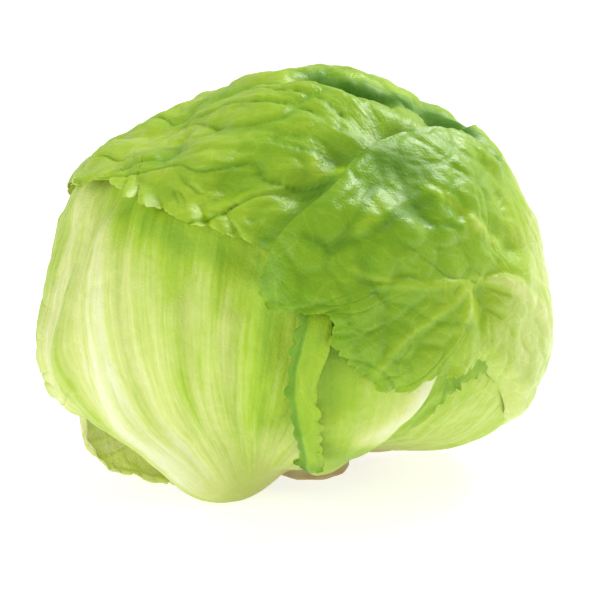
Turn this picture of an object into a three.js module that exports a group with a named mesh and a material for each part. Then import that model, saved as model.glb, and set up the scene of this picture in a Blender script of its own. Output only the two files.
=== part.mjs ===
// A head of iceberg lettuce: a cut stem, a dense heart and ten outer leaves that lie over one another.
// Millimetres, +Z up. The origin is the middle of the stem's cut face, on the surface that the head stands on.
// A place on the head is a direction from the head's middle: an azimuth, 0 at the front (-Y) and growing
// towards the right (+X), and a latitude, 90 at the crown. A leaf is laid along those directions, so its
// height is measured outwards from the head's own rounded form.
import * as THREE from "three";

// Driving dimensions
const HEAD_WIDTH = 168;
const HEAD_DEPTH = 156;
const CROWN_RISE = 74; // from the widest level up to the crown
const UNDERSIDE_DROP = 53; // from the widest level down to the underside of the leaves
const STEM_SHOW = 8; // how far the stem stands out below the leaves
const STEM_RADIUS = 13;
const STEM_TOP = 17;
const STEM_RIM = 1.2; // rounding of the cut face's rim
const STEM_SIDE = 6; // the head leans to the left of its stem by this much
const FORM_POWERS = { crown: 2.05, front: 2.1, side: 3 }; // 2 is an ellipse, more is squarer

const LEAF_THICKNESS = 0.9;
const LEAF_GAP = 1.1; // air between one leaf and the next
const STEM_GAP = 0.5; // air between the stem's top and the heart
const BASE_GAP = 2.2; // air between the stem's side and the leaves' bases
const FLOOR_GAP = 0.2; // the leaves' lowest spots hang this far above the stem's cut face
const HEART_DEPTH = 8.4; // how far the heart lies inside the head's form

// How a leaf settles on those under it
const DRAPE_REACH = 8.5; // degrees over which a leaf keeps the full height of what is under it
const DRAPE_FALL = 0.03; // millimetres per square degree that it sinks beyond that
const DRAPE_LIMIT = 24; // degrees beyond which nothing lifts it

const HEAD_MIDDLE = new THREE.Vector3(-STEM_SIDE, 0, UNDERSIDE_DROP + STEM_SHOW);

// The heart's folded leaves: each lies a step above the one before, turned on from it
const HEART_LEAVES = { count: 5, turn: 137.5, latitude: 30, reach: 62, fade: 12, step: 0.5, sink: 3 };

// Broad rises and dents of the whole head: a direction, a height and the spread in degrees
const SWELLS = [
  { azimuth: -78, latitude: 16, height: -7, spread: 17 },
  { azimuth: -62, latitude: 55, height: -4.5, spread: 15 },
];

// Folds that run through every layer: a path of directions, a height and the half-width in degrees
const FOLDS = [
  { path: [[50, 82], [56, 66], [63, 54], [72, 40]], height: -5, spread: 6.5 },
  { path: [[20, 72], [40, 58], [54, 47], [64, 37]], height: 2, spread: 6.5 },
  { path: [[-6, 17], [5, 28], [14, 38], [24, 46]], height: 1.8, spread: 6.5 },
];

// The leaves, from the innermost to the outermost. reach is the distance in degrees from the leaf's middle to
// its margin at every 15 degrees of bearing, from the crown side clockwise as seen from outside. base is the
// bearing of its foot and rib the midrib's height there. edge holds the bearings between which the margin is
// toothed, and where no later leaf covers it, waved by frill and lifted by flare. swell is the leaf's own pouch.
const LEAVES = [
  {
    name: "back_leaf",
    middle: [180, 14], base: 180, edge: [-100, 100],
    reach: [68, 66, 62, 59, 57, 56, 56, 57, 60, 66, 74, 80, 83, 80, 74, 66, 60, 57, 56, 56, 57, 59, 62, 66],
    rib: 2.4, frill: 2, flare: 0.5, waves: 9, teeth: 2, colour: 0x8fb53c, segments: 44, rings: 7,
  },
  {
    name: "back_right_leaf",
    middle: [124, -4], base: 180, edge: [-110, 110],
    reach: [46, 47, 49, 51, 52, 52, 51, 50, 51, 56, 63, 69, 71, 67, 61, 54, 50, 50, 51, 52, 52, 51, 49, 47],
    rib: 2.6, frill: 2, flare: 0.5, waves: 8, teeth: 2, colour: 0xa3c24c, segments: 44, rings: 6,
    swell: { azimuth: 128, latitude: -56, height: 12.5, spread: 15 },
  },
  {
    name: "back_left_leaf",
    middle: [-138, -2], base: 180, edge: [-110, 110],
    reach: [48, 49, 50, 52, 52, 51, 50, 50, 53, 60, 68, 74, 76, 71, 63, 55, 51, 50, 51, 52, 52, 51, 50, 49],
    rib: 2.6, frill: 2, flare: 0.5, waves: 8, teeth: 2, colour: 0xa9c553, segments: 44, rings: 6,
    swell: { azimuth: -142, latitude: -56, height: 12.5, spread: 15 },
  },
  {
    name: "left_leaf",
    middle: [-86, -10], base: 250, edge: [116, 224],
    reach: [42, 43, 44, 45, 46, 47, 48, 48, 46, 43, 41, 40, 40, 41, 44, 50, 57, 58, 53, 47, 44, 43, 42, 42],
    rib: 1.6, frill: 3, flare: 14, waves: 16, teeth: 3, colour: 0xb9cf66, segments: 60, rings: 7,
  },
  {
    name: "right_leaf",
    middle: [74, -8], base: 190, edge: [-110, 110],
    reach: [48, 49, 50, 51, 52, 52, 52, 51, 50, 52, 55, 60, 66, 68, 65, 60, 58, 56, 54, 50, 48, 47, 47, 47],
    rib: 2.6, frill: 0.8, flare: 0, waves: 7, teeth: 2, colour: 0xbdd06b, segments: 44, rings: 7,
  },
  {
    name: "inner_front_leaf",
    middle: [30, 0], base: 198, edge: [70, 168],
    reach: [34, 34, 32, 31, 30, 29, 28, 26, 23, 20, 20, 25, 38, 48, 47, 42, 36, 32, 31, 31, 32, 33, 34, 34],
    rib: 1.6, frill: 1.4, flare: 1, waves: 14, teeth: 2.4, colour: 0x86ad33, segments: 48, rings: 6,
  },
  {
    name: "front_left_leaf",
    middle: [-48, -6], base: 168, edge: [195, 300],
    reach: [42, 44, 47, 51, 54, 56, 56, 56, 58, 61, 66, 70, 48, 32, 27, 26, 33, 43, 54, 60, 60, 56, 49, 44],
    rib: 3.2, frill: 1, flare: 0.4, waves: 9, teeth: 1.6, colour: 0xcfdc8c, segments: 60, rings: 7,
    swell: { azimuth: -35, latitude: -57, height: 16, spread: 14 },
  },
  {
    name: "front_leaf",
    middle: [14, -16], base: 180, edge: [222, 322],
    reach: [35, 35, 33, 29, 24, 20, 17, 15, 14, 16, 21, 29, 35, 29, 22, 18, 16, 15, 15, 16, 18, 22, 29, 34],
    rib: 2.2, frill: 2.2, flare: 2, waves: 14, teeth: 3, colour: 0xc6d886, segments: 60, rings: 7,
  },
  {
    name: "crown_leaf",
    middle: [-108, 56], base: 222, edge: [68, 200],
    reach: [86, 88, 90, 90, 87, 73, 56, 38, 35, 37, 36, 34, 37, 45, 60, 80, 92, 90, 84, 79, 78, 78, 80, 83],
    rib: 2, frill: 2.6, flare: 0.8, waves: 16, teeth: 3, colour: 0x7aa530, segments: 60, rings: 11,
  },
  {
    name: "right_crown_leaf",
    middle: [52, 18], base: 134, edge: [168, 296],
    reach: [29, 28, 31, 41, 53, 61, 68, 75, 82, 82, 66, 40, 31, 28, 32, 41, 45, 46, 56, 50, 40, 37, 34, 31],
    rib: 2.4, frill: 2, flare: 0.8, waves: 15, teeth: 3, colour: 0x77a52d, segments: 60, rings: 7,
  },
];

const REACH_STEP = 360 / 24;
const RIB_HALF_WIDTH = 7; // degrees
const RIB_RUN = [-30, 70]; // degrees towards the foot between which the midrib rises to its full height
const RING_GATHER = 1.25; // above 1 the rings draw together towards the margin
const MARGIN_START = 0.62; // share of the reach where the margin's waves begin
const COVER_EDGE = [1.1, 1.4]; // shares of a later leaf's reach between which its cover fades out
const EDGE_FADE = 14; // degrees of bearing over which the teeth and waves fade in and out
const CRUMPLE = { height: 0.5, turns: 12 }; // soft unevenness of every layer

const radians = THREE.MathUtils.degToRad;
const degrees = THREE.MathUtils.radToDeg;
const { smoothstep, lerp, euclideanModulo } = THREE.MathUtils;

function direction(azimuth, latitude) {
  const flat = Math.cos(radians(latitude));
  return new THREE.Vector3(
    Math.sin(radians(azimuth)) * flat,
    -Math.cos(radians(azimuth)) * flat,
    Math.sin(radians(latitude)),
  );
}

const bell = (distance, spread) => Math.exp(-0.5 * (distance / spread) ** 2);

function swellAt(dir, swell) {
  const apart = degrees(dir.angleTo(direction(swell.azimuth, swell.latitude)));
  return swell.height * bell(apart, swell.spread);
}

// A fold's bell across the nearest stretch of its path
function foldAt(dir, fold) {
  const points = fold.path.map(([azimuth, latitude]) => direction(azimuth, latitude));
  const nearest = new THREE.Vector3();
  let apart = Infinity;
  for (let i = 0; i + 1 < points.length; i++) {
    new THREE.Line3(points[i], points[i + 1]).closestPointToPoint(dir, true, nearest);
    apart = Math.min(apart, degrees(dir.angleTo(nearest)));
  }
  return fold.height * bell(apart, fold.spread);
}

// Three crossing trains of waves
function crumpleAt(dir) {
  const { height, turns } = CRUMPLE;
  const first = Math.sin(turns * (dir.x + 0.4 * dir.z));
  const second = Math.sin(turns * (dir.y - 0.5 * dir.x) + 1.3);
  const third = Math.sin(turns * (0.9 * dir.z + 0.3 * dir.y) + 2.1);
  return (height * (first + second + third)) / 2;
}

// Radius of the head's form in a direction: an ellipse above the widest level and a fuller one below it,
// squarer at the sides than at the front, with the swells and folds added
function headRadius(dir) {
  const level = Math.hypot(dir.x / (HEAD_WIDTH / 2), dir.y / (HEAD_DEPTH / 2));
  const side = dir.x ** 2 / (dir.x ** 2 + dir.y ** 2 + 1e-9);
  const power = dir.z > 0 ? FORM_POWERS.crown : lerp(FORM_POWERS.front, FORM_POWERS.side, side);
  const rise = Math.abs(dir.z) / (dir.z > 0 ? CROWN_RISE : UNDERSIDE_DROP);
  const plain = (level ** power + rise ** power) ** (-1 / power);
  const swells = SWELLS.reduce((sum, swell) => sum + swellAt(dir, swell), 0);
  const folds = FOLDS.reduce((sum, fold) => sum + foldAt(dir, fold), 0);
  return plain + swells + folds + crumpleAt(dir);
}

// The leaf's own axes at its middle: outwards, to the right and towards the crown
function leafAxes([azimuth, latitude]) {
  return {
    out: direction(azimuth, latitude),
    right: direction(azimuth + 90, 0),
    up: direction(azimuth, latitude + 90),
  };
}

function directionOnLeaf(leaf, bearing, arc) {
  const { out, right, up } = leafAxes(leaf.middle);
  const along = up.multiplyScalar(Math.cos(radians(bearing))).addScaledVector(right, Math.sin(radians(bearing)));
  return out.multiplyScalar(Math.cos(radians(arc))).addScaledVector(along, Math.sin(radians(arc)));
}

// Distance to the margin at a bearing: a closed smooth curve through the reach values
function reachAt(leaf, bearing) {
  const place = euclideanModulo(bearing, 360) / REACH_STEP;
  const at = (i) => leaf.reach[(Math.floor(place) + i + leaf.reach.length) % leaf.reach.length];
  const t = place - Math.floor(place);
  const slopeIn = (at(1) - at(-1)) / 2;
  const slopeOut = (at(2) - at(0)) / 2;
  const rest = 1 - t;
  return (
    at(0) * (1 + 2 * t) * rest ** 2 + slopeIn * t * rest ** 2 + at(1) * t ** 2 * (3 - 2 * t) - slopeOut * t ** 2 * rest
  );
}

// Share of a leaf's reach at which a direction lies: under 1 inside the leaf
function shareOnLeaf(leaf, dir) {
  const { out, right, up } = leafAxes(leaf.middle);
  const bearing = degrees(Math.atan2(dir.dot(right), dir.dot(up)));
  return degrees(dir.angleTo(out)) / reachAt(leaf, bearing);
}

// How far later leaves cover a direction, from 0 for open to 1 for covered
function coverAt(later, dir) {
  return later.reduce((most, leaf) => Math.max(most, 1 - smoothstep(shareOnLeaf(leaf, dir), ...COVER_EDGE)), 0);
}

// Height above the head's form that a leaf needs to clear everything under it
function drapedHeight(laid, dir) {
  const limit = Math.cos(radians(DRAPE_LIMIT));
  let height = -HEART_DEPTH;
  for (const under of laid) {
    if (under.dir.dot(dir) < limit) continue;
    const beyond = Math.max(0, degrees(under.dir.angleTo(dir)) - DRAPE_REACH);
    height = Math.max(height, under.height - DRAPE_FALL * beyond ** 2);
  }
  return height + LEAF_GAP;
}

// The midrib stands out of the outer face, widest and highest at the base
function ribHeight(leaf, bearing, arc) {
  const turn = radians(bearing - leaf.base);
  const along = arc * Math.cos(turn);
  const across = arc * Math.sin(turn);
  return leaf.rib * bell(across, RIB_HALF_WIDTH) * smoothstep(along, ...RIB_RUN);
}

// How far a bearing lies within the toothed part of the margin, from 0 to 1
function edgeAt(leaf, bearing) {
  const [from, to] = leaf.edge;
  const off = Math.abs(euclideanModulo(bearing - (from + to) / 2 + 180, 360) - 180);
  return 1 - smoothstep(off, (to - from) / 2 - EDGE_FADE, (to - from) / 2);
}

// A point at a height above the head's form with the pouches so far, kept off the floor and outside the stem
function pointAt(dir, pouches, height, floor) {
  const pouch = pouches.reduce((sum, swell) => sum + swellAt(dir, swell), 0);
  const point = HEAD_MIDDLE.clone().addScaledVector(dir, headRadius(dir) + pouch + height);
  const keepOut = STEM_RADIUS + BASE_GAP;
  const side = Math.hypot(point.x, point.y);
  if (dir.z < 0 && side < keepOut) point.set((point.x * keepOut) / side, (point.y * keepOut) / side, point.z);
  point.z = Math.max(point.z, floor);
  return point;
}

// Closed skin from two faces of the same rings: a fan at the middle, strips between rings and a wall at the
// margin. Both faces are split along the same diagonals.
function bladeGeometry(outer, inner, rings, segments) {
  const half = outer.length;
  const index = [];
  const at = (ring, j) => 1 + (ring - 1) * segments + (j % segments);
  const both = (a, b, c) => index.push(a, b, c, half + a, half + c, half + b);
  for (let j = 0; j < segments; j++) {
    both(0, at(1, j + 1), at(1, j));
    for (let ring = 1; ring < rings; ring++) {
      both(at(ring, j), at(ring, j + 1), at(ring + 1, j + 1));
      both(at(ring, j), at(ring + 1, j + 1), at(ring + 1, j));
    }
    const a = at(rings, j);
    const b = at(rings, j + 1);
    index.push(a, b, half + b, a, half + b, half + a);
  }
  const geometry = new THREE.BufferGeometry().setFromPoints([...outer, ...inner]);
  geometry.setIndex(index);
  geometry.computeVertexNormals();
  return geometry;
}

const plantStuff = (colour, roughness) => new THREE.MeshStandardMaterial({ color: colour, roughness, metalness: 0 });

function named(name, geometry, material) {
  const mesh = new THREE.Mesh(geometry, material);
  mesh.name = name;
  return mesh;
}

// The stem: a short stalk with a flat cut face, its rim slightly rounded
function makeStem() {
  const profile = [
    [0, 0],
    [STEM_RADIUS - STEM_RIM, 0],
    [STEM_RADIUS - 0.3 * STEM_RIM, 0.3 * STEM_RIM],
    [STEM_RADIUS, STEM_RIM],
    [STEM_RADIUS, STEM_TOP],
    [0, STEM_TOP],
  ].map(([side, height]) => new THREE.Vector2(side, height));
  const geometry = new THREE.LatheGeometry(profile, 28).rotateX(Math.PI / 2);
  return named("stem", geometry, plantStuff(0xbfb685, 0.7));
}

// Height of the uppermost of the heart's folded leaves in a direction
function heartStep(dir) {
  const { count, turn, latitude, reach, fade, step } = HEART_LEAVES;
  let most = 0;
  for (let k = 0; k < count; k++) {
    const apart = degrees(dir.angleTo(direction(turn * k, latitude)));
    most = Math.max(most, step * k * (1 - smoothstep(apart, reach - fade, reach)));
  }
  return most;
}

// The heart: tightly folded inner leaves, whose overlapping margins are low steps round the ball
function makeHeart() {
  const geometry = new THREE.SphereGeometry(1, 28, 18).rotateX(Math.PI / 2);
  const places = geometry.getAttribute("position");
  for (let i = 0; i < places.count; i++) {
    const dir = new THREE.Vector3().fromBufferAttribute(places, i).normalize();
    const radius = headRadius(dir) - HEART_DEPTH - HEART_LEAVES.sink + heartStep(dir);
    const point = HEAD_MIDDLE.clone().addScaledVector(dir, radius);
    point.z = Math.max(point.z, STEM_TOP + STEM_GAP);
    places.setXYZ(i, ...point.toArray());
  }
  geometry.computeVertexNormals();
  return named("heart", geometry, plantStuff(0xdfe8ae, 0.5));
}

// One leaf, laid over the places in laid, to which its own outer face is then added. It follows its own
// pouch and those of the leaves under it.
function makeLeaf(leaf, pouches, later, laid) {
  const rows = [{ bearing: 0, share: 0 }];
  for (let ring = 1; ring <= leaf.rings; ring++) {
    const share = 1 - (1 - ring / leaf.rings) ** RING_GATHER;
    for (let j = 0; j < leaf.segments; j++) rows.push({ bearing: (360 * j) / leaf.segments, share, tooth: j % 2 });
  }
  const outer = [];
  const inner = [];
  const added = [];
  for (const { bearing, share, tooth } of rows) {
    const reach = reachAt(leaf, bearing);
    const plain = directionOnLeaf(leaf, bearing, reach * share);
    const open = 1 - coverAt(later, plain);
    const edge = edgeAt(leaf, bearing);
    const arc = reach * share - (share === 1 && tooth ? leaf.teeth * edge : 0);
    const dir = directionOnLeaf(leaf, bearing, arc);
    const margin = smoothstep(share, MARGIN_START, 1) * open * edge;
    const wave = 0.5 + 0.5 * Math.sin(leaf.waves * radians(bearing));
    const lift = margin * (leaf.flare + leaf.frill * wave);
    const low = drapedHeight(laid, dir);
    const high = low + LEAF_THICKNESS + ribHeight(leaf, bearing, arc);
    inner.push(pointAt(dir, pouches, low + lift, FLOOR_GAP + LEAF_THICKNESS));
    outer.push(pointAt(dir, pouches, high + lift, FLOOR_GAP));
    added.push({ dir, height: high });
  }
  laid.push(...added);
  return named(leaf.name, bladeGeometry(outer, inner, leaf.rings, leaf.segments), plantStuff(leaf.colour, 0.45));
}

const lettuce = new THREE.Group();
lettuce.add(makeStem(), makeHeart());
const laid = [];
LEAVES.forEach((leaf, i) => {
  const pouches = LEAVES.slice(0, i + 1).flatMap((each) => each.swell ?? []);
  lettuce.add(makeLeaf(leaf, pouches, LEAVES.slice(i + 1), laid));
});

export default lettuce;
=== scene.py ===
"""Iceberg lettuce: a cut stem, a dense heart and ten outer leaves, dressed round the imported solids.

Lengths in the tables are millimetres and angles degrees. A place on the head is a direction from the
head's middle: azimuth 0 is the front (-Y) and grows towards the right (+X), and latitude 90 is the
crown. Every leaf is a sheet over those directions. Its height is measured outwards from the head's
rounded form.
"""
import math
from dataclasses import dataclass
from functools import lru_cache

import bpy
import numpy as np
from mathutils import Matrix, Vector


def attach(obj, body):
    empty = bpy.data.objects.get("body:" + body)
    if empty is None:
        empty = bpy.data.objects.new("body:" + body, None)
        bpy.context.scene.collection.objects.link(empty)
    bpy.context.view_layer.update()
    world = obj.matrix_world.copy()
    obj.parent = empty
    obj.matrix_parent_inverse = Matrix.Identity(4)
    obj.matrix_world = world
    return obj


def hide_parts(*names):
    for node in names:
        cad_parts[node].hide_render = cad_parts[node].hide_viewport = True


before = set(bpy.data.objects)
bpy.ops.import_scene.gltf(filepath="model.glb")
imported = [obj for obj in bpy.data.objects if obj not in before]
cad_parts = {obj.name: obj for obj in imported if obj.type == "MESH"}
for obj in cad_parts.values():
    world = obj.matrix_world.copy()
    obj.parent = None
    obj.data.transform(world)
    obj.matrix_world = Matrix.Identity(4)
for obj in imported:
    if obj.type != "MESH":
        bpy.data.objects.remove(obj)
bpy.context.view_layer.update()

bl_info = {
    "name": "Iceberg lettuce",
    "version": (1, 0, 0),
    "blender": (4, 5, 0),
    "location": "View3D > Sidebar > Lettuce",
    "description": "Builds a head of iceberg lettuce leaf by leaf",
    "category": "Add Mesh",
}

MM = 0.001
HEAD_RADIUS = 78.0  # mean radius that turns degrees on the head into millimetres along it
DEGREE_MM = math.radians(HEAD_RADIUS)


def linear(hex_colour):
    """Linear red, green and blue of a six-digit colour."""
    parts = [int(hex_colour[i:i + 2], 16) / 255 for i in (0, 2, 4)]
    return tuple(p / 12.92 if p <= 0.04045 else ((p + 0.055) / 1.055) ** 2.4 for p in parts)


def length(label, words, millimetres):
    """A length property in metres with its default given in millimetres."""
    return bpy.props.FloatProperty(name=label, description=words, default=millimetres * MM, unit="LENGTH")


def quantity(label, words, value):
    """A plain number property."""
    return bpy.props.FloatProperty(name=label, description=words, default=value)


def colour(label, words, hex_colour):
    """A colour property."""
    return bpy.props.FloatVectorProperty(name=label, description=words, default=linear(hex_colour), size=3,
                                         min=0, max=1, subtype="COLOR")


class HeadSettings(bpy.types.PropertyGroup):
    """Sizes of the head and of its leaves."""
    width: length("Width", "Width of the head's form, left to right", 168)
    depth: length("Depth", "Depth of the head's form, front to back", 156)
    crown_rise: length("Crown rise", "From the widest level up to the crown", 74)
    underside_drop: length("Underside drop", "From the widest level down to the leaves' underside", 53)
    stem_show: length("Stem show", "How far the stem stands out below the leaves", 8)
    stem_radius: length("Stem radius", "Radius of the cut stem", 13)
    stem_top: length("Stem top", "Height at which the stem meets the heart", 17)
    stem_side: length("Stem offset", "How far the head leans to the left of its stem", 6)
    heart_depth: length("Heart depth", "How far the heart lies inside the head's form", 8.4)
    leaf_thickness: length("Leaf thickness", "Thickness of a blade", 0.6)
    leaf_gap: length("Leaf gap", "Air between one leaf and the next", 1.3)


class ColourSettings(bpy.types.PropertyGroup):
    """Colours of the leaves, from the rib to the deepest green, and of the stem."""
    cream: colour("Cream", "Midribs and the palest foot of a leaf", "f2f4d8")
    pale: colour("Pale", "Blade beside the midrib", "d3df84")
    light: colour("Light green", "Blade between foot and margin", "a3c52c")
    fresh: colour("Fresh green", "Blade of the crown leaves", "7aa817")
    # The deep green in the crown's hollows is painted shade.
    deep: colour("Deep green", "Hollows and the darkest blisters", "47780f")
    # Brown of the cut stem and of the leaves next to the stem and the floor.
    bruise: colour("Brown", "Bruised tissue near the cut stem", "a58a4e")
    flesh: colour("Stem flesh", "Cut face and side of the stem", "c9c08f")


class StageSettings(bpy.types.PropertyGroup):
    """Camera and studio light."""
    elevation: bpy.props.FloatProperty(name="Elevation", description="Camera height above the horizon",
                                       default=math.radians(13), unit="ROTATION")
    distance: length("Distance", "Camera to the head's middle", 700)
    lens: quantity("Lens", "Focal length in millimetres", 132.8)
    key: quantity("Key light", "Watts of the light at the upper right", 8.4)
    rim: quantity("Rim light", "Watts of the light behind the right", 0.9)
    fill: quantity("Fill light", "Watts of the light at the left", 3.5)
    sky: quantity("Sky", "Strength of the white surroundings", 0.46)


@dataclass(frozen=True)
class Stroke:
    """A vein, a crease, a band of colour, or a band of painted shade or painted light on a leaf: a path of
    directions, half its width in degrees, its height in millimetres and the change of tone along it."""
    path: tuple
    width: float
    height: float
    tone: float


@dataclass(frozen=True)
class Leaf:
    """One leaf.

    reach is the arc from its middle to its margin at every 15 degrees of bearing, from the crown side
    clockwise as seen from outside. Each of notches (azimuth, latitude, depth, width) cuts into it. foot
    is the bearing of its base and veins the direction that its veins fan out from. tones are the depths
    of green at the foot, half way and at the far margin, and greening the shares of the way between
    which the foot's tone gives way. rib is the midrib's height and rib_pale how much paler it is.

    Between the bearings of edge, which ends softly over fade degrees, the margin is cut into teeth, and
    into lobes of the length wave. Where no later leaf covers it, flare lifts it, and it is ruffled,
    crumpled and turned up by the angle curl. Each of hems is a stretch of margin (from bearing, to
    bearing, height) that dives under its neighbour or stands off. swell is a pouch (azimuth, latitude,
    height, spread).

    ridges, billow and blisters are heights of its relief. streak, net and glow are the strengths of its
    streaks, veinlets and inner light. rings and segments are the counts of its mesh."""
    name: str
    slot: str
    middle: tuple
    reach: tuple
    foot: float
    veins: tuple
    edge: tuple
    tones: tuple
    greening: tuple = (0.05, 0.5)
    fade: float = 14.0
    glow: float = 0.12
    rib: float = 2.0
    rib_pale: float = 0.2
    flare: float = 0.5
    curl: float = 35.0
    wave: float = 14.0
    ruffle: float = 0.0
    teeth: float = 1.6
    lobes: float = 2.0
    crumple: float = 0.5
    hems: tuple = ()
    swell: tuple = None
    streak: float = 0.08
    ridges: float = 0.5
    billow: float = 0.6
    blisters: float = 0.5
    notches: tuple = ()
    strokes: tuple = ()
    net: float = 0.05
    rings: int = 46
    segments: int = 210


# Half-width, height and change of tone of the strokes that recur. The darker tone of creases and grooves is
# painted shade.
PALE_VEIN = (0.7, 0.45, -0.12)
CREASE = (0.9, -0.7, 0.05)
GROOVE = (0.7, -0.5, 0.14)

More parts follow.
